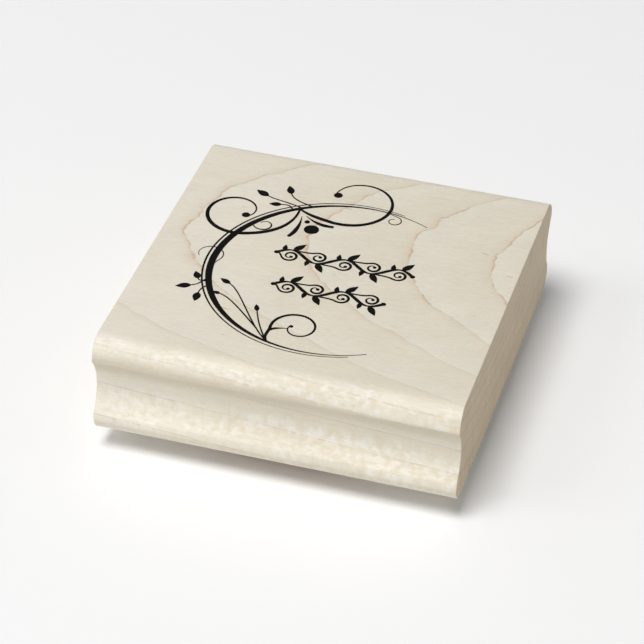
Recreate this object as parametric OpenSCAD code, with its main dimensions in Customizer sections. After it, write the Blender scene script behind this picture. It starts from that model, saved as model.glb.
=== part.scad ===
// Wood-mounted rubber stamp.
// A moulded maple block carries, under it, a foam cushion and an engraved rubber die.
// The same artwork is raised on the die and printed in ink on the block's top, as an index.
// Frame: +Z up, X along the wood grain, -Y towards the user, and the origin under the middle
// of the block, on the plane of the die's printing face. Millimetres.

/* [Block] */
// Length of the block along the grain, between its two saw cuts
block_l = 63.5; // [50:0.5:110]
// Depth of the moulding across the grain, over its bulges
block_d = 67.6; // [50:0.1:110]
// Thickness of the moulding
block_h = 19.05; // [14:0.05:30]
// Radius that rounds the top edges
top_round_r = 3.7; // [1:0.1:4]
// Radius that rounds the bottom edges
foot_round_r = 3.3; // [1:0.1:4]
// Radius of the cove that the fingers grip
grip_r = 8.3; // [6:0.1:12]
// Depth of the cove at its middle
grip_depth = 2.0; // [0.5:0.1:3]

/* [Artwork] */
// Least gap between the field of the artwork and the edge of the flat top
edge_clear = 2.9; // [1:0.1:8]
// Thickness of the ink on the top
ink_t = 0.05; // [0.03:0.01:0.2]
// Widest part of the crescent, before the artwork is fitted to the top
crescent_w = 1.25; // [0.6:0.1:2.5]
// Width of a fine line, before the artwork is fitted to the top
fine_w = 0.22; // [0.15:0.01:0.4]
// Width of a line at its tip, before the artwork is fitted to the top
tip_w = 0.1; // [0.05:0.01:0.2]

/* [Die and cushion] */
// Thickness of each film of double-sided adhesive
film_t = 0.1; // [0.05:0.01:0.3]
// Thickness of the foam cushion
foam_t = 1.5; // [1:0.1:5]
// Whole thickness of the rubber, with its raised artwork
rubber_t = 2.3; // [1.5:0.1:4]
// Height of the raised artwork
relief_h = 1.0; // [0.4:0.1:1.2]
// Radius of the corners where the die and the cushion are trimmed
trim_r = 5; // [2:0.5:7]

/* [Hidden] */

maple = [0.87, 0.82, 0.72];
ink = [0.05, 0.05, 0.05];
film = [0.93, 0.91, 0.82];
foam = [0.45, 0.46, 0.48];
rubber = [0.55, 0.16, 0.12];

// Heights of the layers, from the printing face up.
back_z = relief_h;
die_film_z = rubber_t;
foam_z = die_film_z + film_t;
block_film_z = foam_z + foam_t;
block_z = block_film_z + film_t;
top_z = block_z + block_h;

// Sizes of the moulding's outline.
half_d = block_d / 2;
top_flat_d = block_d - 2 * top_round_r;
arc_step = 7.5;

// The artwork is drawn in its own field, and fitted to the flat top.
art_field = 54.4;
art_scale = (min(block_l, top_flat_d) - 2 * edge_clear) / art_field;

ring_c = [2.2, -2.9];
ring_r = 22.4;
top_joint = on_circle(ring_c, ring_r - 0.1, 124);
foot_joint = on_circle(ring_c, ring_r - 0.1, 253);

// ---- Points on curves ----

function on_circle(c, r, a) = [c[0] + r * cos(a), c[1] + r * sin(a)];

// An arc, or a curl where the radius changes from r0 to r1 on the way.
function curl(c, r0, r1, a0, a1, n) = [
  for (i = [0:n]) on_circle(c, r0 + (r1 - r0) * i / n, a0 + (a1 - a0) * i / n)
];

// A cubic curve from p to q that leaves along the vector u and arrives along the vector v.
function sweep(p, u, q, v, n) = [
  for (i = [0:n]) let (t = i / n, s = 1 - t)
    s * s * s * p + 3 * s * s * t * (p + u) + 3 * s * t * t * (q - v) + t * t * t * q
];

// Two paths joined where the first ends and the second starts.
function joined(a, b) = concat(a, [for (i = [1:len(b) - 1]) b[i]]);

function backwards(v) = [for (i = [len(v) - 1:-1:0]) v[i]];

// Widths along n + 1 points: from w0 at the start to w1 at the end, with a swell of extra
// width whose peak is at the share peak of the way.
function widths(n, w0, w1, swell, peak) = [
  for (i = [0:n]) let (t = i / n, s = t < peak ? t / peak : (1 - t) / (1 - peak))
    w0 + (w1 - w0) * t + swell * pow(sin(90 * s), 2)
];

function heading(p, i) =
  let (d = p[min(i + 1, len(p) - 1)] - p[max(i - 1, 0)]) d / norm(d);

function edge(p, w, side) = [
  for (i = [0:len(p) - 1]) let (h = heading(p, i)) p[i] + side * w[i] / 2 * [-h[1], h[0]]
];

// A polygon's corners rounded to the radius r, going anticlockwise.
function rounded(p, r) = [
  for (i = [0:len(p) - 1])
    let (
      a = p[(i + len(p) - 1) % len(p)], b = p[i], c = p[(i + 1) % len(p)],
      u = (a - b) / norm(a - b), v = (c - b) / norm(c - b),
      half = acos(u * v) / 2, mid = (u + v) / norm(u + v),
      centre = b + mid * r / sin(half), turn = 90 - half,
      from = atan2(-mid[1], -mid[0]) - turn, steps = ceil(2 * turn / arc_step)
    )
    for (k = [0:steps]) on_circle(centre, r, from + 2 * turn * k / steps)
];

// ---- Marks that the artwork is made of, in art units ----

module stroke(p, w) {
  polygon(art_scale * concat(edge(p, w, 1), backwards(edge(p, w, -1))));
}

module dot(p, r) {
  translate(art_scale * p) circle(r = art_scale * r, $fn = 32);
}

// A pointed leaf that starts at p and points along the angle a.
module leaf(p, a, length, width) {
  n = 8;
  axis = [cos(a), sin(a)];
  across = [-sin(a), cos(a)];
  bulge = [for (i = [0:n]) width / 2 * sin(180 * pow(i / n, 0.8))];
  one_side = [for (i = [0:n]) p + axis * length * i / n + across * bulge[i]];
  other_side = [for (i = [n - 1:-1:1]) p + axis * length * i / n - across * bulge[i]];
  polygon(art_scale * concat(one_side, other_side));
}

// ---- Artwork ----

module crescent() {
  n = 72;
  stroke(curl(ring_c, ring_r, ring_r, 62, 298, n),
         widths(n, tip_w, tip_w, crescent_w - tip_w, 0.5));
}

// A fine line that follows the crescent's outer edge and stands off it most at its middle.
module crescent_edge() {
  n = 64;
  from = 75;
  to = 290;
  radius = [for (i = [0:n]) ring_r + 0.45 + 0.72 * sin(180 * i / n)];
  path = [for (i = [0:n]) on_circle(ring_c, radius[i], from + (to - from) * i / n)];
  stroke(path, widths(n, tip_w, tip_w, 0.24, 0.5));
}

// A volute: a lead that leaves p along u runs on into a curl about c, with a ball at its end.
module volute(p, u, c, r0, r1, a0, a1, v, w0, swell, ball) {
  lead_n = 14;
  curl_n = 46;
  coil = curl(c, r0, r1, a0, a1, curl_n);
  path = joined(sweep(p, u, coil[0], v, lead_n), coil);
  stroke(path, widths(lead_n + curl_n, w0, fine_w, swell, 0.16));
  end = coil[curl_n];
  dot(end + 0.6 * ball * (c - end) / norm(c - end), ball);
}

module volutes() {
  volute(top_joint, [0.6, -6.5], [-20.3, 11.6], 7.0, 2.1, 283, -30, [-4.8, -1.1], 0.42, 0.45, 0.75);
  volute(top_joint, [1.9, -1.5], [-1.5, 21.2], 8.3, 4.1, 255, 528, [2.2, -0.5], 0.45, 0.4, 0.8);
  volute(foot_joint, [-1.0, 1.4], [-0.4, -19.2], 4.5, 1.3, 190, -190, [-0.3, 1.6], 0.5, 0.1, 0.36);
}

// A fine curl that leaves the crescent at the angle a, with w as its extra width.
module hair(a, u, c, r0, r1, a0, a1, v, w) {
  lead_n = 6;
  curl_n = 24;
  coil = curl(c, r0, r1, a0, a1, curl_n);
  path = joined(sweep(on_circle(ring_c, ring_r, a), u, coil[0], v, lead_n), coil);
  stroke(path, widths(lead_n + curl_n, tip_w, tip_w, w, 0.4));
}

module hairs() {
  hair(149, [0.2, -1.0], [-14.9, 8.9], 1.9, 0.7, 215, 520, [0.5, -0.7], 0.2);
  hair(196, [-0.6, 1.5], [-21.2, -2.7], 2.5, 1.9, -30, 215, [0.7, 1.3], 0.1);
  hair(88, [1.9, -0.1], [6.6, 17.0], 1.5, 0.6, 75, -270, [1.0, -0.3], 0.1);
}

// A short sprout inside the last volute.
module sprout() {
  n = 8;
  path = sweep([-4.9, -22.0], [0.1, 1.6], [-1.9, -19.8], [1.6, 0.3], n);
  stroke(path, widths(n, 0.3, tip_w, 0.35, 0.4));
}

// A petal that widens along its way from p to q and has a round end.
module petal(p, u, q, v) {
  n = 10;
  stroke(sweep(p, u, q, v, n), widths(n, tip_w, 0.7, 0.3, 0.7));
  dot(q, 0.36);
}

// Two berries between a pair of petals, under the joint of the upper volutes.
module berries() {
  dot([-6.5, 9.9], 1.35);
  dot([-7.9, 12.0], 0.5);
  petal([-9.3, 13.4], [0.5, -2.2], [-9.7, 6.9], [-0.8, -1.6]);
  petal([-8.6, 13.8], [1.8, -1.6], [-3.3, 11.8], [1.8, 0.2]);
}

// A stem that leaves p along u, with a leaf at its end q that points along v.
module leafy_stem(p, u, q, v, length, width) {
  n = 8;
  stroke(sweep(p, u, q, v, n), widths(n, 1.3 * fine_w, fine_w, 0, 0.5));
  leaf(q - 0.2 * v / norm(v), atan2(v[1], v[0]), length, width);
}

module upper_leaves() {
  leafy_stem([-7.9, 16.9], [-2.4, 0.6], [-13.2, 19.9], [-0.8, 1.8], 2.7, 1.4);
  leafy_stem([-9.9, 15.9], [-3.0, 1.2], [-17.0, 17.9], [-1.8, 0.9], 2.9, 1.5);
  leafy_stem([-11.5, 15.0], [-0.8, 1.2], [-14.0, 15.9], [-1.5, -0.3], 2.3, 1.2);
}

module lower_leaves() {
  leafy_stem([-19.3, -10.2], [-0.8, -0.9], [-21.4, -12.8], [-1.6, -0.7], 2.8, 1.4);
  leafy_stem([-18.5, -11.8], [-0.5, -1.0], [-19.4, -14.6], [0.1, -1.5], 2.7, 1.4);
  leafy_stem([-19.2, -10.9], [-0.9, 0.2], [-20.8, -10.4], [-0.5, 0.9], 2.3, 1.3);
}

// Three stems that fan out of the foot joint, inside the crescent.
module sprig() {
  leafy_stem(foot_joint, [-4.0, 3.4], [-15.2, -10.2], [-2.6, 1.3], 2.3, 1.1);
  leafy_stem(foot_joint, [-2.4, 3.6], [-8.3, -16.4], [-0.6, 1.6], 2.0, 0.9);
  leafy_stem([-6.9, -21.3], [-4.2, 4.2], [-15.9, -13.6], [-1.9, 0.3], 1.7, 0.8);
}

// A running vine: the stem waves, and each half wave holds a leaf and a tendril that coils.
module vine(start, halves) {
  half_l = 4.9;
  wave_h = 1.35;
  steps = 10;
  n = halves * steps;
  stem = [for (i = [0:n]) start + [half_l * i / steps, wave_h * sin(180 * i / steps)]];
  stroke(stem, [for (i = [0:n]) 0.32 + 0.34 * abs(cos(180 * i / steps))]);
  for (k = [0:halves - 1]) {
    up = k % 2 == 0 ? 1 : -1;
    middle = start + [half_l * (k + 0.5), 0];
    branch = stem[max(0, k * steps - 4)];
    coil = curl(middle + [0.1, -0.45 * up], 1.45, 0.45, -120 * up, 330 * up, 26);
    tendril = joined(sweep(branch, [1.1, -0.1 * up], coil[0], [1.0, -0.58 * up], 6), coil);
    stroke(tendril, widths(32, 0.34, tip_w, 0.26, 0.5));
    dot(coil[26] - [0.1, 0], 0.32);
    leaf(middle + [0.2, (wave_h - 0.1) * up], 55 * up, 3.0, 1.25);
    leaf(middle + [-1.3, (wave_h - 0.6) * up], 95 * up, 1.9, 0.9);
  }
  dot(stem[0], 0.45);
  dot(stem[n], 0.45);
}

module wreath() {
  crescent();
  crescent_edge();
  volutes();
  hairs();
  sprout();
  berries();
  upper_leaves();
  lower_leaves();
  sprig();
}

module rows() {
  vine([-10.3, 1.4], 5);
  vine([-8.0, -8.0], 4);
}

// ---- Outlines ----

// The moulding's cross-section, with Y across and Z up.
module moulding() {
  corners = [
    [half_d, 0, foot_round_r, -90], [half_d, block_h, top_round_r, 0],
    [-half_d, block_h, top_round_r, 90], [-half_d, 0, foot_round_r, 180]
  ];
  outline = [
    for (c = corners)
      let (centre = [c[0] - sign(c[0]) * c[2], c[1] == 0 ? c[2] : c[1] - c[2]])
      for (a = [0:arc_step:90]) on_circle(centre, c[2], c[3] + a)
  ];
  difference() {
    polygon(outline);
    for (side = [-1, 1])
      translate([side * (half_d - grip_depth + grip_r), block_h / 2]) circle(r = grip_r, $fn = 96);
  }
}

// The line that the rubber, the films and the foam are trimmed to, round the artwork.
module trim() {
  corners = [
    [-26.8, -17.0], [-8.5, -27.1], [9.0, -27.1], [17.4, -18.5],
    [17.4, 17.0], [5.5, 28.2], [-9.5, 28.2], [-26.8, 20.5]
  ];
  polygon(rounded(art_scale * corners, art_scale * trim_r));
}

module layer(z, thickness) {
  translate([0, 0, z]) linear_extrude(thickness) trim();
}

// ---- Nodes ----

module wood_block() {
  color(maple)
    translate([-block_l / 2, 0, block_z])
      rotate([90, 0, 90]) linear_extrude(block_l) moulding();
}

module index_print_wreath() {
  color(ink) translate([0, 0, top_z]) linear_extrude(ink_t) wreath();
}

module index_print_rows() {
  color(ink) translate([0, 0, top_z]) linear_extrude(ink_t) rows();
}

module block_adhesive_film() {
  color(film) layer(block_film_z, film_t);
}

module foam_cushion() {
  color(foam) layer(foam_z, foam_t);
}

module die_adhesive_film() {
  color(film) layer(die_film_z, film_t);
}

module rubber_die() {
  root = 0.2;
  color(rubber) {
    layer(back_z, rubber_t - relief_h);
    linear_extrude(relief_h + root) {
      wreath();
      rows();
    }
  }
}

wood_block();
index_print_wreath();
index_print_rows();
block_adhesive_film();
foam_cushion();
die_adhesive_film();
rubber_die();
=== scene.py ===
import math

import bpy
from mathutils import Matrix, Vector


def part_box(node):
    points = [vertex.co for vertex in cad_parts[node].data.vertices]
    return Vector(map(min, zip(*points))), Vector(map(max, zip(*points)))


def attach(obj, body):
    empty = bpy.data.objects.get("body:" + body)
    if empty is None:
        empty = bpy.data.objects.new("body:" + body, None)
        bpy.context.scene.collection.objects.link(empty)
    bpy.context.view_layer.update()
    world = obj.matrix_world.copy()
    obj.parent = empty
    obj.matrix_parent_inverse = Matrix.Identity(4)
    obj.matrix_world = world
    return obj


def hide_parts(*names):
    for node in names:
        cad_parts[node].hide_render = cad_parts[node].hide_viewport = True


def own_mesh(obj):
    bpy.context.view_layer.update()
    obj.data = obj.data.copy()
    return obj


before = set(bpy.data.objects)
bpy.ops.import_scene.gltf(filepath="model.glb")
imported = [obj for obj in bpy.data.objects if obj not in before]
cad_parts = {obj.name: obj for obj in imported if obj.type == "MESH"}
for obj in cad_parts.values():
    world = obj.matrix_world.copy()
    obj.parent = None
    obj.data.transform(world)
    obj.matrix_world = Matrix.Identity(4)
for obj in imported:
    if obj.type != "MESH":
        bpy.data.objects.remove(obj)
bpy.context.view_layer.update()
mm = 0.001
weldDistance = 0.001 * mm


def tone(red, green, blue):
    # a screen colour, 0 to 255, as the linear colour that shaders take
    parts = [c / 255 for c in (red, green, blue)]
    return tuple(c / 12.92 if c <= 0.04045 else ((c + 0.055) / 1.055) ** 2.4 for c in parts) + (1.0,)


def wire(tree, socket, value):
    # links an output, or sets a plain value
    if isinstance(value, bpy.types.NodeSocket):
        tree.links.new(value, socket)
    else:
        socket.default_value = value


def addNode(tree, kind, inputs=None, **settings):
    node = tree.nodes.new(kind)
    for name, value in settings.items():
        setattr(node, name, value)
    for name, value in (inputs or {}).items():
        wire(tree, node.inputs[name], value)
    return node


def calc(tree, operation, *values):
    node = tree.nodes.new("ShaderNodeMath")
    node.operation = operation
    for socket, value in zip(node.inputs, values):
        wire(tree, socket, value)
    return node.outputs[0]


def product(tree, result, *others):
    # multiplies any number of values
    for value in others:
        result = calc(tree, "MULTIPLY", result, value)
    return result


def vectorCalc(tree, operation, *values):
    node = tree.nodes.new("ShaderNodeVectorMath")
    node.operation = operation
    for socket, value in zip(node.inputs, values):
        wire(tree, socket, value)
    return node.outputs["Value" if operation in ("DOT_PRODUCT", "LENGTH") else "Vector"]


def remap(tree, value, low, high, toLow=0.0, toHigh=1.0, smooth=True):
    node = addNode(tree, "ShaderNodeMapRange", interpolation_type="SMOOTHSTEP" if smooth else "LINEAR")
    for name, number in (("Value", value), ("From Min", low), ("From Max", high),
                         ("To Min", toLow), ("To Max", toHigh)):
        wire(tree, node.inputs[name], number)
    return node.outputs["Result"]


def blendColour(tree, share, first, second, way="MIX"):
    node = addNode(tree, "ShaderNodeMix", data_type="RGBA", blend_type=way)
    wire(tree, node.inputs[0], share)
    wire(tree, node.inputs[6], first)
    wire(tree, node.inputs[7], second)
    return node.outputs[2]


def noiseAt(tree, place, stretch, detail=2.0, roughness=0.5, offset=(0, 0, 0)):
    # noise whose grains are about stretch millimetres long on each axis; place is in millimetres
    spread = addNode(tree, "ShaderNodeMapping", {
        "Vector": place, "Location": offset, "Scale": tuple(1 / s for s in stretch)})
    noise = addNode(tree, "ShaderNodeTexNoise", {
        "Vector": spread.outputs[0], "Scale": 1.0, "Detail": detail, "Roughness": roughness})
    return noise.outputs[0]


def newMaterial(name):
    material = bpy.data.materials.new(name)
    material.use_nodes = True
    tree = material.node_tree
    shader = tree.nodes["Principled BSDF"]
    return material, tree, shader


def millimetres(tree, lift=0.0):
    # object coordinates in millimetres, with z counted from lift
    place = addNode(tree, "ShaderNodeTexCoord").outputs["Object"]
    return addNode(tree, "ShaderNodeMapping", {
        "Vector": place, "Location": (0, 0, -lift / mm), "Scale": (1 / mm,) * 3}).outputs[0]


def bump(tree, shader, height, strength, distance):
    node = addNode(tree, "ShaderNodeBump", {"Height": height, "Strength": strength, "Distance": distance})
    tree.links.new(node.outputs[0], shader.inputs["Normal"])


def newTree(name, inputs):
    tree = bpy.data.node_groups.new(name, "GeometryNodeTree")
    tree.interface.new_socket(name="Geometry", in_out="INPUT", socket_type="NodeSocketGeometry")
    for label, kind in inputs.items():
        tree.interface.new_socket(name=label, in_out="INPUT", socket_type="NodeSocket" + kind)
    tree.interface.new_socket(name="Geometry", in_out="OUTPUT", socket_type="NodeSocketGeometry")
    return tree, tree.nodes.new("NodeGroupInput").outputs


def closeTree(tree, geometry, material):
    real = addNode(tree, "GeometryNodeRealizeInstances", {"Geometry": geometry})
    painted = addNode(tree, "GeometryNodeSetMaterial", {"Geometry": real.outputs[0], "Material": material})
    tree.links.new(painted.outputs[0], tree.nodes.new("NodeGroupOutput").inputs[0])


def growMesh(name, seedMesh, tree, values, sharpAngle=None):
    # runs a geometry tree on a mesh and keeps the result as a plain mesh object
    source = bpy.data.objects.new(name + "Seed", seedMesh)
    bpy.context.scene.collection.objects.link(source)
    modifier = source.modifiers.new("grow", "NODES")
    modifier.node_group = tree
    for item in tree.interface.items_tree:
        if item.in_out == "INPUT" and item.name in values:
            modifier[item.identifier] = values[item.name]
    evaluated = source.evaluated_get(bpy.context.evaluated_depsgraph_get())
    mesh = bpy.data.meshes.new_from_object(evaluated)
    source.modifiers.clear()
    bpy.data.objects.remove(source)
    mesh.name = name
    if sharpAngle:
        mesh.set_sharp_from_angle(angle=math.radians(sharpAngle))
    piece = bpy.data.objects.new(name, mesh)
    bpy.context.scene.collection.objects.link(piece)
    return piece


# the maple block: its wood
maple = {
    # the tree's rings, in mm
    "grainSlope": 0.085,      # how fast the rings climb towards the left end
    "pithY": 9.0,             # where the rings are highest half way along
    "pithSlant": 0.09,        # how far that line leans across the block
    "ringRadius": 186.0,
    "ringFirst": 5.856,       # between rings low in the block
    "ringThinning": 0.2255,   # how fast the rings get thinner upwards
    "ringThinnest": 0.7,
    "ringShift": 3.284,       # puts the rings where they meet the top
    "strays": (               # size of the noise, its detail, and how far a ring strays
        ((18, 11, 9), 1.0, 0.42),
        ((6, 5, 6), 2.0, 0.20),
        ((1.9, 1.2, 2.2), 3.0, 0.10)),
    # how wide each mark is drawn at a ring's end, in mm
    "lineWidth": (0.006, 0.026),
    "sideLineWidth": (0.03, 0.24),
    "bandWidth": 0.085,
    "shadeWidth": 0.26,
    "sawnWidth": 0.75,
    "crown": (8.0, 32.0),     # the lines are strong near the pith and weak out here
    # length, thickness and height of each kind of grain, in mm
    "patchGrain": (4, 3, 5),
    "rayGrain": (1.25, 0.50, 2.9),
    "clusterGrain": (11, 5, 4),
    "fibreGrain": (5, 0.20, 0.20),
    "gritGrain": (0.7, 0.22, 0.4),
    "mottleGrain": (9, 6, 6),
    "spotGrain": (3.6, 0.9, 1.1),
    "sawnRayGrain": (9, 0.22, 5),
    "poreGrain": (4, 0.11, 0.11),
    "creaseDashGrain": (1.6, 4, 4),
    "creaseDashStretch": (14, 20, 20),
    # where things lie on the block, in mm from its middle or up from its foot
    "sideFrom": 30.0,         # the top gives way to the moulded side
    "sideTo": 32.0,
    "sapwoodFrom": -27.0,
    "sapwoodTo": 0.0,
    "noRays": (8.0, 10.5, 14.4, 15.2),
    "grooveShadeRise": (11.0, 14.2),
    "shadeReach": 28.0,
    "shadeStart": (15.3, 14.7),   # where the painted shade begins to fade, at the left and at the right
    "shadeFade": (17.8, 15.5),    # and where it is gone
    "footShade": (0.7, 1.6, 2.2, 3.2),
    "creaseShadowHeight": (0.03, 0.13),
    "creaseShadowDepth": (0.35, 0.15),
    # colours
    "early": tone(233, 226, 210),
    "late": tone(231, 222, 202),
    "ringLine": tone(192, 164, 138),
    "ringBand": tone(232, 203, 171),
    "ringShade": tone(211, 199, 179),
    "sapwood": tone(238, 231, 216),   # the wood is paler towards its left end
    "fleck": tone(222, 209, 184),
    # painted sheen, laid out along the ray figure
    "gloss": tone(243, 240, 233),
    "spot": tone(196, 158, 118),
    # painted shadow line in the crease under the top bulge
    "creaseShadow": tone(166, 145, 118),
    "paintedShade": tone(209, 199, 178),   # painted shade: the upper part of the groove under the bulge, and low on the foot round, darker
    "endTone": tone(206, 188, 157),
    "endLine": tone(176, 152, 120),
}


def ringField(tree, place):
    # the tree's rings as a field that grows by one from each ring to the next
    x, y, z = addNode(tree, "ShaderNodeSeparateXYZ", {0: place}).outputs
    pith = calc(tree, "MULTIPLY_ADD", x, maple["pithSlant"], maple["pithY"])
    aside = calc(tree, "SUBTRACT", y, pith)
    arch = calc(tree, "DIVIDE", calc(tree, "MULTIPLY", aside, aside), 2 * maple["ringRadius"])
    climb = calc(tree, "MULTIPLY_ADD", x, maple["grainSlope"], z)
    level = calc(tree, "SUBTRACT", climb, arch)
    for stretch, detail, reach in maple["strays"]:
        stray = calc(tree, "SUBTRACT", noiseAt(tree, place, stretch, detail), 0.5)
        level = calc(tree, "MULTIPLY_ADD", stray, reach, level)
    width = calc(tree, "MULTIPLY_ADD", level, -maple["ringThinning"], maple["ringFirst"])
    width = calc(tree, "MAXIMUM", width, maple["ringThinnest"])
    count = calc(tree, "DIVIDE", calc(tree, "LOGARITHM", width, math.e), -maple["ringThinning"])
    share = calc(tree, "FRACT", calc(tree, "ADD", count, maple["ringShift"]))
    return share, width, aside


def drawRings(tree, colour, place, onSide, share, width, aside):
    # a ring ends in a warm band and a thin brown line, and the next one starts pale
    below = product(tree, calc(tree, "SUBTRACT", 1.0, share), width)
    nearest = product(tree, calc(tree, "PINGPONG", share, 0.5), width)
    patches = noiseAt(tree, place, maple["patchGrain"], 2.0, 0.6, (8, 2, 4))
    patchy = remap(tree, patches, 0.34, 0.62, 0.30, 1.0)
    central = remap(tree, calc(tree, "ABSOLUTE", aside), *maple["crown"], 1.0, 0.30)
    sideLine = product(tree, remap(tree, nearest, *maple["sideLineWidth"], 0.62, 0.0), onSide, patchy)
    shade = calc(tree, "MAXIMUM", remap(tree, below, 0.0, maple["shadeWidth"], 0.24, 0.0), sideLine)
    band = product(tree, remap(tree, below, 0.0, maple["bandWidth"], 0.80, 0.0), patchy, central)
    line = product(tree, remap(tree, nearest, *maple["lineWidth"], 0.62, 0.0), patchy, central)
    for strength, tint in ((shade, "ringShade"), (band, "ringBand"), (line, "ringLine")):
        colour = blendColour(tree, strength, colour, maple[tint])
    return colour, below


def drawRays(tree, colour, place, onSide, z):
    # rays: ribbons that stand upright, so they are blotches on the sides and dashes on the top
    ray = noiseAt(tree, place, maple["rayGrain"], 1.0, 0.5)
    clusters = noiseAt(tree, place, maple["clusterGrain"], 1.0, offset=(3, 7, 1))
    cluster = remap(tree, clusters, 0.34, 0.58, 0.30, 1.0)
    low, full, fading, gone = maple["noRays"]
    raysHidden = product(tree, remap(tree, z, low, full, 0.0, 0.85), remap(tree, z, fading, gone, 1.0, 0.0))
    sideShare = calc(tree, "MULTIPLY_ADD", onSide, 0.7, 0.3)
    shown = product(tree, cluster, calc(tree, "SUBTRACT", 1.0, raysHidden), sideShare)
    # pale patches between the darker flecks: painted sheen on the ray figure, stronger on the moulded sides
    # and kept off the groove band
    gloss = product(tree, remap(tree, ray, 0.50, 0.36, 0.0, 0.50), shown)
    fleck = product(tree, remap(tree, ray, 0.52, 0.68, 0.0, 0.48), shown)
    colour = blendColour(tree, gloss, colour, maple["gloss"])
    return blendColour(tree, fleck, colour, maple["fleck"])


def drawSpots(tree, colour, place, onSide):
    # a few small brown spots, fainter on the sides
    spots = noiseAt(tree, place, maple["spotGrain"], 1.0, offset=(1, 9, 4))
    fading = remap(tree, onSide, 0.0, 1.0, 1.0, 0.4)
    strength = product(tree, remap(tree, spots, 0.755, 0.83, 0.0, 0.5), fading)
    return blendColour(tree, strength, colour, maple["spot"])


def creaseShadowMask(tree, place, y, z):
    # painted shadow: a broken brown line in the crease along the crisp upper edge of each groove, in dashes
    # like fibres picked out by a cutter
    low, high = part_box("wood_block")
    thickness = high.z - low.z
    edge = mouldingSide((high.y - low.y) / 2, thickness)
    crisp = max(point for point in edge if thickness * 0.5 < point[1] < thickness * 0.785)
    reach, height = crisp[0] / mm, crisp[1] / mm
    above = calc(tree, "ABSOLUTE", calc(tree, "SUBTRACT", z, height))
    near = remap(tree, above, *maple["creaseShadowHeight"], 1.0, 0.0)
    outer = remap(tree, calc(tree, "ABSOLUTE", y), *(reach - depth for depth in maple["creaseShadowDepth"]))
    dashes = noiseAt(tree, place, maple["creaseDashGrain"], 2.0, 0.6, (2, 5, 3))
    stretches = noiseAt(tree, place, maple["creaseDashStretch"], 1.0, offset=(5.1, 1, 2))
    return product(tree, near, outer, remap(tree, dashes, 0.52, 0.62), remap(tree, stretches, 0.46, 0.58))


def paintedShadeMask(tree, onSide, x, z):
    # painted shade: darker in the upper groove under the bulge, less of it to the right, and under the foot
    start = remap(tree, x, -maple["shadeReach"], maple["shadeReach"], *maple["shadeStart"])
    gone = remap(tree, x, -maple["shadeReach"], maple["shadeReach"], *maple["shadeFade"])
    groove = product(tree, remap(tree, z, *maple["grooveShadeRise"]), remap(tree, z, start, gone, 1.0, 0.0))
    low, full, fading, end = maple["footShade"]
    foot = product(tree, remap(tree, z, end, fading), remap(tree, z, low, full), 0.45)
    return product(tree, calc(tree, "MAXIMUM", groove, foot), onSide, 0.9)


def drawSawnEnds(tree, colour, place, below):
    # the sawn ends drink light: darker, with the rings and fine ray lines showing
    endGrain = addNode(tree, "ShaderNodeAttribute", attribute_name="endGrain").outputs["Fac"]
    rays = noiseAt(tree, place, maple["sawnRayGrain"], 2.0, 0.6, (0, 4, 6))
    rings = remap(tree, below, 0.0, maple["sawnWidth"], 0.42, 0.0)
    shown = calc(tree, "ADD", rings, remap(tree, rays, 0.42, 0.66, 0.0, 0.40))
    sawn = blendColour(tree, shown, maple["endTone"], maple["endLine"])
    return blendColour(tree, endGrain, colour, sawn)


def drawGrain(tree, colour, place, fibre):
    # fibres, grit and slow patches make the wood lighter and darker
    grit = noiseAt(tree, place, maple["gritGrain"], 2.0, 0.6, (7, 7, 2))
    mottle = noiseAt(tree, place, maple["mottleGrain"], 2.0, offset=(11, 3, 5))
    lightness = product(tree, remap(tree, fibre, 0.28, 0.72, 1.038, 0.957, smooth=False),
                        remap(tree, grit, 0.3, 0.7, 1.030, 0.967, smooth=False),
                        remap(tree, mottle, 0.3, 0.7, 1.02, 0.975, smooth=False))
    grey = addNode(tree, "ShaderNodeCombineColor", {0: lightness, 1: lightness, 2: lightness}).outputs[0]
    return blendColour(tree, 1.0, colour, grey, "MULTIPLY")


def mapleMaterial():
    material, tree, shader = newMaterial("maple")
    place = millimetres(tree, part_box("wood_block")[0].z)
    x, y, z = addNode(tree, "ShaderNodeSeparateXYZ", {0: place}).outputs
    onSide = remap(tree, calc(tree, "ABSOLUTE", y), maple["sideFrom"], maple["sideTo"])
    share, width, aside = ringField(tree, place)
    fibre = noiseAt(tree, place, maple["fibreGrain"], 3.0, 0.65)

    colour = blendColour(tree, remap(tree, share, 0.0, 0.8), maple["early"], maple["late"])
    sapwood = remap(tree, x, maple["sapwoodFrom"], maple["sapwoodTo"], 0.60, 0.0)
    colour = blendColour(tree, sapwood, colour, maple["sapwood"])
    colour, below = drawRings(tree, colour, place, onSide, share, width, aside)
    colour = drawRays(tree, colour, place, onSide, z)
    colour = drawSpots(tree, colour, place, onSide)
    # painted shadow along the crease under the top bulge
    colour = blendColour(tree, creaseShadowMask(tree, place, y, z), colour, maple["creaseShadow"])
    # painted shade in the upper groove and under the foot round
    colour = blendColour(tree, paintedShadeMask(tree, onSide, x, z), colour, maple["paintedShade"])
    colour = drawSawnEnds(tree, colour, place, below)
    tree.links.new(drawGrain(tree, colour, place, fibre), shader.inputs["Base Color"])

    tree.links.new(remap(tree, fibre, 0.3, 0.7, 0.46, 0.62), shader.inputs["Roughness"])
    shader.inputs["Specular IOR Level"].default_value = 0.5
    pores = remap(tree, noiseAt(tree, place, maple["poreGrain"], 1.0, offset=(5, 2, 8)), 0.62, 0.72, 1.0, 0.0)
    relief = calc(tree, "ADD", product(tree, fibre, 0.6), product(tree, pores, 0.4))
    bump(tree, shader, relief, 0.35, 0.03 * mm)
    return material


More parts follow.
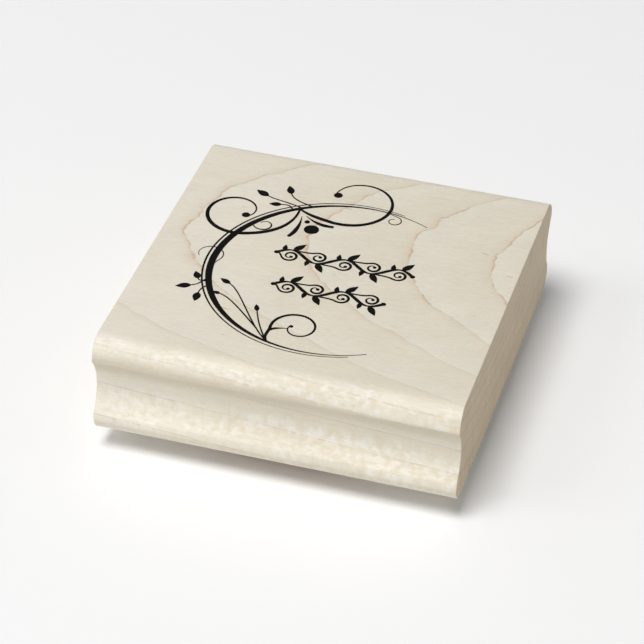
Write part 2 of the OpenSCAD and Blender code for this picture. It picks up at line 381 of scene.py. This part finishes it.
# the maple block: its shape
moulding = {
    "topRound": 3.7 * mm,
    "footRound": 3.3 * mm,
    "coveRadius": 8.3 * mm,
    "coveDepth": 2.0 * mm,
    "arris": 0.16 * mm,       # the sanded edge of the saw cuts
    "chip": 0.9,              # how uneven that edge is
    "chipScale": 900.0,       # chips per metre
    "rows": 70,
    "arrisRows": 5,
    "capRows": 10,
    "flatStep": 1.2 * mm,
    "arcStep": 3.0,           # degrees
    "sharpAngle": 20,         # degrees, past which an edge stays crisp
    "gap": 0.001 * mm,        # keeps the ends just inside the part's box
    "seed": 3.0,
}


def arcPoints(centre, radius, start, end):
    steps = max(2, round(abs(end - start) / moulding["arcStep"]))
    angles = [math.radians(start + (end - start) * i / steps) for i in range(steps + 1)]
    return [(centre[0] + radius * math.cos(a), centre[1] + radius * math.sin(a)) for a in angles]


def circlesMeet(c0, r0, c1, r1, side):
    # the point where two circles meet, on the given side of the line between their centres
    dx, dy = c1[0] - c0[0], c1[1] - c0[1]
    apart = math.hypot(dx, dy)
    along = (r0 * r0 - r1 * r1 + apart * apart) / (2 * apart)
    off = side * math.sqrt(r0 * r0 - along * along)
    return (c0[0] + (along * dx - off * dy) / apart, c0[1] + (along * dy + off * dx) / apart)


def angleOf(point, centre):
    return math.degrees(math.atan2(point[1] - centre[1], point[0] - centre[0]))


def mouldingSide(half, height):
    # the back edge's outline, from the underside to the top, as (y, z) from the foot
    foot = (half - moulding["footRound"], moulding["footRound"])
    top = (half - moulding["topRound"], height - moulding["topRound"])
    cove = (half - moulding["coveDepth"] + moulding["coveRadius"], height / 2)
    low = circlesMeet(foot, moulding["footRound"], cove, moulding["coveRadius"], -1)
    high = circlesMeet(top, moulding["topRound"], cove, moulding["coveRadius"], 1)
    lowArc = arcPoints(foot, moulding["footRound"], -90, angleOf(low, foot))
    coveArc = arcPoints(cove, moulding["coveRadius"], angleOf(low, cove) % 360, angleOf(high, cove) % 360)
    highArc = arcPoints(top, moulding["topRound"], angleOf(high, top), 90)
    return lowArc + coveArc[1:-1] + highArc


def spaced(start, end, step):
    # points strictly between two points
    count = max(1, round(math.dist(start, end) / step))
    return [tuple(s + (e - s) * i / count for s, e in zip(start, end)) for i in range(1, count)]


def mouldingOutline(low, high):
    half = (high.y - low.y) / 2
    side = mouldingSide(half, high.z - low.z)
    front = [(-y, z) for y, z in reversed(side)]
    loop = side + spaced(side[-1], front[0], moulding["flatStep"])
    loop += front + spaced(front[-1], side[0], moulding["flatStep"])
    return [(0.0, y, low.z + z) for y, z in loop]


def loopMesh(name, points):
    mesh = bpy.data.meshes.new(name)
    mesh.from_pydata(points, [(i, (i + 1) % len(points)) for i in range(len(points))], [])
    return mesh


def sweepGrid(tree, outline, rowCount):
    # a grid with a column for each outline point, and one more that closes the ring
    count = addNode(tree, "GeometryNodeAttributeDomainSize", {"Geometry": outline}).outputs["Point Count"]
    columns = calc(tree, "ADD", count, 1.0)
    grid = addNode(tree, "GeometryNodeMeshGrid", {"Vertices X": rowCount, "Vertices Y": columns})
    index = tree.nodes.new("GeometryNodeInputIndex").outputs[0]
    row = calc(tree, "FLOOR", calc(tree, "DIVIDE", calc(tree, "ADD", index, 0.5), columns))
    column = calc(tree, "ROUND", calc(tree, "SUBTRACT", index, calc(tree, "MULTIPLY", row, columns)))

    def outlinePoint(step):
        turn = calc(tree, "ROUND", calc(tree, "WRAP", calc(tree, "ADD", column, float(step)), count, 0.0))
        sample = addNode(tree, "GeometryNodeSampleIndex", {"Geometry": outline}, data_type="FLOAT_VECTOR")
        tree.links.new(tree.nodes.new("GeometryNodeInputPosition").outputs[0], sample.inputs["Value"])
        tree.links.new(turn, sample.inputs["Index"])
        return sample.outputs[0]

    along = vectorCalc(tree, "NORMALIZE", vectorCalc(tree, "SUBTRACT", outlinePoint(1), outlinePoint(-1)))
    return grid.outputs[0], row, outlinePoint(0), along


def vectorOf(tree, x=0.0, y=0.0, z=0.0):
    return addNode(tree, "ShaderNodeCombineXYZ", {0: x, 1: y, 2: z}).outputs[0]


def scaled(tree, vector, factor):
    return addNode(tree, "ShaderNodeVectorMath", {0: vector, "Scale": factor}, operation="SCALE").outputs[0]


def closeSweep(tree, grid, place, material, endGrain=None):
    shaped = addNode(tree, "GeometryNodeSetPosition", {"Geometry": grid, "Position": place}).outputs[0]
    if endGrain:
        stored = addNode(tree, "GeometryNodeStoreNamedAttribute", {
            "Geometry": shaped, "Name": "endGrain", "Value": endGrain}, data_type="FLOAT", domain="POINT")
        shaped = stored.outputs[0]
    welded = addNode(tree, "GeometryNodeMergeByDistance", {"Geometry": shaped, "Distance": weldDistance})
    outside = addNode(tree, "GeometryNodeFlipFaces", {"Mesh": welded.outputs[0]})
    smooth = addNode(tree, "GeometryNodeSetShadeSmooth", {"Geometry": outside.outputs[0]})
    closeTree(tree, smooth.outputs[0], material)


def mouldingTree(material):
    # sweeps the outline along the grain, eases the saw-cut edges and closes both ends
    tree, given = newTree("mouldingSweep", {
        "Half Length": "Float", "Middle Height": "Float", "Arris": "Float", "Chip": "Float",
        "Chip Scale": "Float", "Rows": "Int", "Arris Rows": "Int", "Cap Rows": "Int", "Seed": "Float"})
    rim = calc(tree, "ADD", given["Cap Rows"], given["Arris Rows"])
    rowCount = calc(tree, "ADD", calc(tree, "MULTIPLY", calc(tree, "ADD", rim, given["Rows"]), 2.0), 1.0)
    grid, row, point, along = sweepGrid(tree, given["Geometry"], rowCount)
    outwards = vectorCalc(tree, "CROSS_PRODUCT", along, (1.0, 0.0, 0.0))
    lastRow = calc(tree, "SUBTRACT", rowCount, 1.0)
    inward = calc(tree, "MINIMUM", row, calc(tree, "SUBTRACT", lastRow, row))
    side = calc(tree, "SIGN", calc(tree, "SUBTRACT", row, calc(tree, "MULTIPLY", lastRow, 0.5)))

    capShare = remap(tree, inward, 0.0, given["Cap Rows"], smooth=False)
    turn = remap(tree, inward, given["Cap Rows"], rim, 0.0, math.pi / 2, smooth=False)
    middle = remap(tree, inward, rim, calc(tree, "ADD", rim, given["Rows"]), smooth=False)
    seeded = vectorCalc(tree, "ADD", point, vectorOf(tree, calc(tree, "MULTIPLY", side, given["Seed"])))
    rough = addNode(tree, "ShaderNodeTexNoise", {
        "Vector": seeded, "Scale": given["Chip Scale"], "Detail": 2.0}).outputs[0]
    unevenness = calc(tree, "MULTIPLY", calc(tree, "SUBTRACT", rough, 0.5), given["Chip"])
    easing = calc(tree, "MULTIPLY", given["Arris"], calc(tree, "ADD", unevenness, 1.0))
    inset = calc(tree, "MULTIPLY", easing, calc(tree, "SUBTRACT", 1.0, calc(tree, "SINE", turn)))
    setBack = calc(tree, "MULTIPLY", easing, calc(tree, "SUBTRACT", 1.0, calc(tree, "COSINE", turn)))
    reach = calc(tree, "SUBTRACT", given["Half Length"], setBack)
    x = calc(tree, "MULTIPLY", calc(tree, "MULTIPLY", reach, calc(tree, "SUBTRACT", 1.0, middle)), side)

    centre = vectorOf(tree, z=given["Middle Height"])
    inner = vectorCalc(tree, "SUBTRACT", point, scaled(tree, outwards, inset))
    spoke = scaled(tree, vectorCalc(tree, "SUBTRACT", inner, centre), capShare)
    place = vectorCalc(tree, "ADD", vectorCalc(tree, "ADD", centre, spoke), vectorOf(tree, x))
    closeSweep(tree, grid, place, material, remap(tree, turn, 0.0, math.pi / 2, 1.0, 0.0, smooth=False))
    return tree


def makeBlock():
    low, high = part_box("wood_block")
    seedMesh = loopMesh("mouldingOutline", mouldingOutline(low, high))
    block = growMesh("wood_block_maple", seedMesh, mouldingTree(mapleMaterial()), {
        "Half Length": (high.x - low.x) / 2 - moulding["gap"], "Middle Height": (low.z + high.z) / 2,
        "Arris": moulding["arris"], "Chip": moulding["chip"], "Chip Scale": moulding["chipScale"],
        "Rows": moulding["rows"], "Arris Rows": moulding["arrisRows"], "Cap Rows": moulding["capRows"],
        "Seed": moulding["seed"]}, sharpAngle=moulding["sharpAngle"])
    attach(block, "block")
    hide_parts("wood_block")
    print("block:", len(block.data.polygons), "faces")


# the foam cushion under the block
cushion = {
    "wallStep": 0.2 * mm,
    "rows": 16,
    "capRows": 3,
    "bow": 0.12 * mm,         # the cut wall is slightly hollow
    "pore": 0.10 * mm,        # depth of the cut cells
    "poreSize": 0.34 * mm,
    "fineCells": 7.5,         # per mm
    "cloudGrain": (3, 3, 1.5),   # mm
    "sharpAngle": 60,
    "seed": 0.5,
    "pressed": 0.733,         # thickness left when the stamp is pressed down
    "wall": tone(150, 151, 150),
    # painted shade in the cut cells
    "cell": tone(104, 105, 106),
    "skin": tone(172, 172, 170),
}


def foamMaterial():
    # closed-cell foam: paler cell walls round cut cells, painted darker as shade in their pits
    material, tree, shader = newMaterial("cushionFoam")
    place = millimetres(tree)
    cells = addNode(tree, "ShaderNodeTexVoronoi", {"Vector": place, "Scale": mm / cushion["poreSize"]})
    fine = addNode(tree, "ShaderNodeTexVoronoi", {"Vector": place, "Scale": cushion["fineCells"]})
    hollow = remap(tree, cells.outputs["Distance"], 0.15, 0.55, 0.75, 0.0)
    speck = remap(tree, fine.outputs["Distance"], 0.1, 0.5, 0.35, 0.0)
    cloud = remap(tree, noiseAt(tree, place, cushion["cloudGrain"], 2.0), 0.35, 0.65)
    colour = blendColour(tree, product(tree, cloud, 0.5), cushion["wall"], cushion["skin"])
    # painted shade in the cut cells and the finer pits
    colour = blendColour(tree, hollow, colour, cushion["cell"])
    colour = blendColour(tree, speck, colour, cushion["cell"])
    tree.links.new(colour, shader.inputs["Base Color"])
    shader.inputs["Roughness"].default_value = 0.9
    shader.inputs["Specular IOR Level"].default_value = 0.2
    depth = calc(tree, "ADD", product(tree, hollow, -0.7), product(tree, speck, -0.5))
    bump(tree, shader, depth, 0.6, 0.05 * mm)
    return material


def trimOutline(node, step):
    # the die's cut edge, all round, from the part itself
    corners = {(round(v.co.x, 7), round(v.co.y, 7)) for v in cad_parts[node].data.vertices}
    low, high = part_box(node)
    middle = (low + high) / 2
    loop = sorted(corners, key=lambda c: math.atan2(c[1] - middle.y, c[0] - middle.x))
    dense = []
    for start, end in zip(loop, loop[1:] + loop[:1]):
        dense += [start] + spaced(start, end, step)
    return [(x, y, 0.0) for x, y in dense]


def cushionTree(material):
    # a cut wall between two flat faces, with cells opened by the knife
    tree, given = newTree("cushionWall", {
        "Centre": "Vector", "Low": "Float", "High": "Float", "Bow": "Float", "Pore": "Float",
        "Pore Size": "Float", "Rows": "Int", "Cap Rows": "Int", "Seed": "Float"})
    wallEnd = calc(tree, "ADD", given["Cap Rows"], given["Rows"])
    lastRow = calc(tree, "ADD", wallEnd, given["Cap Rows"])
    grid, row, point, along = sweepGrid(tree, given["Geometry"], calc(tree, "ADD", lastRow, 1.0))
    outwards = vectorCalc(tree, "CROSS_PRODUCT", along, (0.0, 0.0, 1.0))
    inward = calc(tree, "MINIMUM", row, calc(tree, "SUBTRACT", lastRow, row))
    capShare = remap(tree, inward, 0.0, given["Cap Rows"], smooth=False)
    rise = remap(tree, row, given["Cap Rows"], wallEnd, smooth=False)
    height = remap(tree, rise, 0.0, 1.0, given["Low"], given["High"], smooth=False)

    seeded = vectorCalc(tree, "ADD", point, vectorOf(tree, z=calc(tree, "ADD", height, given["Seed"])))
    cells = addNode(tree, "ShaderNodeTexVoronoi", {
        "Vector": seeded, "Scale": calc(tree, "DIVIDE", 1.0, given["Pore Size"])})
    pit = calc(tree, "MULTIPLY", remap(tree, cells.outputs["Distance"], 0.1, 0.6, 1.0, 0.0), given["Pore"])
    fromFace = calc(tree, "PINGPONG", rise, 0.5)
    hollow = calc(tree, "MULTIPLY", remap(tree, fromFace, 0.0, 0.5), given["Bow"])
    pitted = calc(tree, "MULTIPLY", pit, remap(tree, fromFace, 0.0, 0.12))
    cut = vectorCalc(tree, "SUBTRACT", point, scaled(tree, outwards, calc(tree, "ADD", hollow, pitted)))
    spoke = scaled(tree, vectorCalc(tree, "SUBTRACT", cut, given["Centre"]), capShare)
    place = vectorCalc(tree, "ADD", vectorCalc(tree, "ADD", given["Centre"], spoke), vectorOf(tree, z=height))
    closeSweep(tree, grid, place, material)
    return tree


def makeCushion():
    low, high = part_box("foam_cushion")
    seedMesh = loopMesh("cushionOutline", trimOutline("foam_cushion", cushion["wallStep"]))
    foam = growMesh("foam_cushion_cut", seedMesh, cushionTree(foamMaterial()), {
        "Centre": ((low.x + high.x) / 2, (low.y + high.y) / 2, 0.0), "Low": low.z, "High": high.z,
        "Bow": cushion["bow"], "Pore": cushion["pore"], "Pore Size": cushion["poreSize"],
        "Rows": cushion["rows"], "Cap Rows": cushion["capRows"], "Seed": cushion["seed"]},
        sharpAngle=cushion["sharpAngle"])
    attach(foam, "block")
    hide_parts("foam_cushion")
    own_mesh(foam)
    print("cushion:", len(foam.data.polygons), "faces")


# ink, adhesive films and the rubber die
printing = {
    "ink": tone(9, 8, 7),
    "inkThin": tone(19, 17, 15),
    "inkStarved": tone(70, 64, 57),
    "film": tone(222, 208, 172),
    "filmCloud": tone(236, 228, 206),
    "lint": tone(190, 184, 170),
    "rubber": tone(160, 72, 60),
    "rubberPale": tone(176, 92, 78),
    "rubberBurnt": tone(122, 54, 47),
    "rubberDust": tone(86, 47, 41),
    # length, width and height of each kind of mark, in mm
    "inkGrain": (1.6, 0.14, 1),
    "starvedGrain": (0.5, 0.16, 1),
    "filmGrain": (2.4, 2.4, 0.4),
    "lintGrain": (0.8, 0.12, 0.2),
    "laserGrain": (3.5, 0.11, 0.6),
    "crumbGrain": (0.22, 0.22, 0.22),
    "rubberGrain": (6, 5, 3),
    "knifeGrain": (0.35, 0.35, 5),
    "burntFrom": (0.04, 0.30),    # mm up, where the printing face gives way to the burnt walls
    "trimFrom": (1.02, 1.08),     # mm up, where the burnt floor gives way to the trimmed edge
}


def inkMaterial():
    # stamp ink that has soaked in, with the grain just showing through
    material, tree, shader = newMaterial("indexInk")
    place = millimetres(tree)
    grain = noiseAt(tree, place, printing["inkGrain"], 2.0, 0.6)
    gaps = noiseAt(tree, place, printing["starvedGrain"], 3.0, 0.7, (4, 1, 0))
    colour = blendColour(tree, remap(tree, grain, 0.3, 0.7), printing["ink"], printing["inkThin"])
    colour = blendColour(tree, remap(tree, gaps, 0.60, 0.74, 0.0, 0.5), colour, printing["inkStarved"])
    tree.links.new(colour, shader.inputs["Base Color"])
    shader.inputs["Roughness"].default_value = 0.8
    shader.inputs["Specular IOR Level"].default_value = 0.12
    bump(tree, shader, grain, 0.3, 0.02 * mm)
    return material


def filmMaterial():
    # double-sided film: clear amber glue with cloudy patches where it holds air
    material, tree, shader = newMaterial("adhesiveFilm")
    place = millimetres(tree)
    cloud = remap(tree, noiseAt(tree, place, printing["filmGrain"], 3.0, 0.6), 0.45, 0.65)
    threads = noiseAt(tree, place, printing["lintGrain"], 2.0, 0.6, (3, 8, 1))
    colour = blendColour(tree, cloud, printing["film"], printing["filmCloud"])
    colour = blendColour(tree, remap(tree, threads, 0.66, 0.74, 0.0, 0.4), colour, printing["lint"])
    tree.links.new(colour, shader.inputs["Base Color"])
    tree.links.new(remap(tree, cloud, 0.0, 1.0, 0.18, 0.42), shader.inputs["Roughness"])
    shader.inputs["Specular IOR Level"].default_value = 0.5
    bump(tree, shader, cloud, 0.25, 0.02 * mm)
    return material


def rubberMaterial():
    # moulded rubber, burnt away between the raised lines by a laser that swept to and fro
    material, tree, shader = newMaterial("dieRubber")
    place = millimetres(tree)
    height = addNode(tree, "ShaderNodeSeparateXYZ", {0: place}).outputs[2]
    deep = remap(tree, height, *printing["burntFrom"])
    trimmed = remap(tree, height, *printing["trimFrom"])
    burnt = product(tree, deep, calc(tree, "SUBTRACT", 1.0, trimmed))
    sweepLine = noiseAt(tree, place, printing["laserGrain"], 2.0, 0.55)
    crumb = noiseAt(tree, place, printing["crumbGrain"], 2.0, 0.6, (2, 6, 3))
    cloud = remap(tree, noiseAt(tree, place, printing["rubberGrain"], 2.0), 0.35, 0.65)
    dust = product(tree, remap(tree, crumb, 0.58, 0.70), calc(tree, "MULTIPLY_ADD", burnt, 0.6, 0.12))
    knife = noiseAt(tree, place, printing["knifeGrain"], 2.0, 0.5, (1, 1, 5))

    colour = blendColour(tree, product(tree, cloud, 0.5), printing["rubber"], printing["rubberPale"])
    streak = product(tree, burnt, remap(tree, sweepLine, 0.35, 0.65, 0.55, 0.95))
    colour = blendColour(tree, streak, colour, printing["rubberBurnt"])
    knifeMark = product(tree, trimmed, remap(tree, knife, 0.4, 0.65, 0.0, 0.5))
    colour = blendColour(tree, knifeMark, colour, printing["rubberPale"])
    colour = blendColour(tree, dust, colour, printing["rubberDust"])
    tree.links.new(colour, shader.inputs["Base Color"])
    tree.links.new(remap(tree, burnt, 0.0, 1.0, 0.50, 0.88), shader.inputs["Roughness"])
    shader.inputs["Specular IOR Level"].default_value = 0.4
    relief = calc(tree, "ADD", product(tree, burnt, sweepLine, 0.8), product(tree, crumb, 0.3))
    relief = calc(tree, "MULTIPLY_ADD", product(tree, trimmed, knife), 0.5, relief)
    bump(tree, shader, relief, 0.6, 0.06 * mm)
    return material


def paint(node, material):
    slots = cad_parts[node].data.materials
    slots.clear()
    slots.append(material)


makeBlock()
makeCushion()
finishes = (
    (inkMaterial(), ("index_print_wreath", "index_print_rows")),
    (filmMaterial(), ("block_adhesive_film", "die_adhesive_film")),
    (rubberMaterial(), ("rubber_die",)))
for material, nodes in finishes:
    for node in nodes:
        paint(node, material)
print("prints, films and die painted")


# floor, surroundings and camera
studio = {
    "lens": 161.56,           # mm
    "sensor": 36.0,           # mm
    "azimuth": 15.44,         # degrees
    "elevation": 35.82,       # degrees
    "roll": 1.61,             # degrees
    "distance": 0.5193,
    "target": (-0.00393, 0.00929),   # on the plane of the block's underside
    "floorFlat": 1.7,         # radius of the flat part
    "floorWall": 0.7,         # radius of the curve up into the wall
    "floorGap": 0.00002,      # keeps the floor off the die's face
    "floorTurns": 96,
    "floorSteps": 12,
    "glowFrom": 0.5,          # the floor glows more from here outwards
    "floorTone": tone(247, 247, 247),
    "floorGlow": 0.06,
    "wallGlow": 0.18,
    "surround": 0.14,
    "lampAim": 0.01,          # height that the lamps aim at
}

studioLamps = {
    "key": {"azimuth": -20, "elevation": 68, "distance": 1.8, "size": 0.7, "power": 23.3},
    "side": {"azimuth": -55, "elevation": 45, "distance": 1.8, "size": 0.7, "power": 3.9},
}


def makeFloor():
    # a flat floor whose far edge curves up all round into a low white wall
    flat, wall, gap = studio["floorFlat"], studio["floorWall"], studio["floorGap"]
    turns, steps = studio["floorTurns"], studio["floorSteps"]
    rings = [(flat * (i + 1) / 4, 0.0) for i in range(4)]
    for i in range(steps):
        tilt = math.pi / 2 * (i + 1) / steps
        rings.append((flat + wall * math.sin(tilt), wall * (1 - math.cos(tilt))))
    spokes = [(math.cos(math.tau * k / turns), math.sin(math.tau * k / turns)) for k in range(turns)]
    points = [(0.0, 0.0, -gap)]
    points += [(radius * c, radius * s, height - gap) for radius, height in rings for c, s in spokes]
    faces = [(0, 1 + k, 1 + (k + 1) % turns) for k in range(turns)]
    for ring in range(len(rings) - 1):
        inner, outer = 1 + ring * turns, 1 + (ring + 1) * turns
        for k in range(turns):
            after = (k + 1) % turns
            faces.append((inner + k, outer + k, outer + after, inner + after))
    mesh = bpy.data.meshes.new("floor")
    mesh.from_pydata(points, [], faces)
    mesh.shade_smooth()
    floor = bpy.data.objects.new("floor", mesh)
    bpy.context.scene.collection.objects.link(floor)
    material, tree, shader = newMaterial("floorCard")
    shader.inputs["Base Color"].default_value = studio["floorTone"]
    shader.inputs["Roughness"].default_value = 0.9
    shader.inputs["Specular IOR Level"].default_value = 0.1
    shader.inputs["Emission Color"].default_value = (1.0, 1.0, 1.0, 1.0)
    away = vectorCalc(tree, "LENGTH", addNode(tree, "ShaderNodeTexCoord").outputs["Object"])
    glow = remap(tree, away, studio["glowFrom"], flat + wall / 2, studio["floorGlow"], studio["wallGlow"])
    tree.links.new(glow, shader.inputs["Emission Strength"])
    mesh.materials.append(material)


def bearing(azimuth, elevation):
    # the direction from the object to a camera or a lamp, which both aim back at it
    azimuth, elevation = math.radians(azimuth), math.radians(elevation)
    level = math.cos(elevation)
    return Vector((math.sin(azimuth) * level, -math.cos(azimuth) * level, math.sin(elevation)))


def makeCamera():
    azimuth, roll = math.radians(studio["azimuth"]), math.radians(studio["roll"])
    back = bearing(studio["azimuth"], studio["elevation"])
    right = Vector((math.cos(azimuth), math.sin(azimuth), 0.0))
    up = back.cross(right)
    localX = right * math.cos(roll) + up * math.sin(roll)
    localY = up * math.cos(roll) - right * math.sin(roll)
    camera = bpy.data.objects.new("camera", bpy.data.cameras.new("camera"))
    camera.data.lens = studio["lens"]
    camera.data.sensor_width = studio["sensor"]
    target = Vector((*studio["target"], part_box("wood_block")[0].z))
    matrix = camera.matrix_world.copy()
    for axis, vector in enumerate((localX, localY, back, target + back * studio["distance"])):
        matrix.col[axis] = (*vector, 1.0 if axis == 3 else 0.0)
    camera.matrix_world = matrix
    bpy.context.scene.collection.objects.link(camera)
    bpy.context.scene.camera = camera


def addLamp(name, values):
    # a square soft box that aims at the block's middle
    light = bpy.data.lights.new(name, "AREA")
    light.shape = "SQUARE"
    light.size = values["size"]
    light.energy = values["power"]
    lamp = bpy.data.objects.new(name, light)
    lamp.location = bearing(values["azimuth"], values["elevation"]) * values["distance"]
    aim = Vector((0, 0, studio["lampAim"])) - lamp.location
    lamp.rotation_euler = aim.to_track_quat("-Z", "Y").to_euler()
    bpy.context.scene.collection.objects.link(lamp)


def makeLights():
    for name, values in studioLamps.items():
        addLamp(name, values)
    world = bpy.data.worlds.new("studio")
    world.use_nodes = True
    surround = world.node_tree.nodes["Background"]
    surround.inputs["Color"].default_value = (1.0, 1.0, 1.0, 1.0)
    surround.inputs["Strength"].default_value = studio["surround"]
    bpy.context.scene.world = world
    bpy.context.scene.view_settings.view_transform = "Standard"


makeFloor()
makeLights()
makeCamera()
print("floor, lamps and camera set")
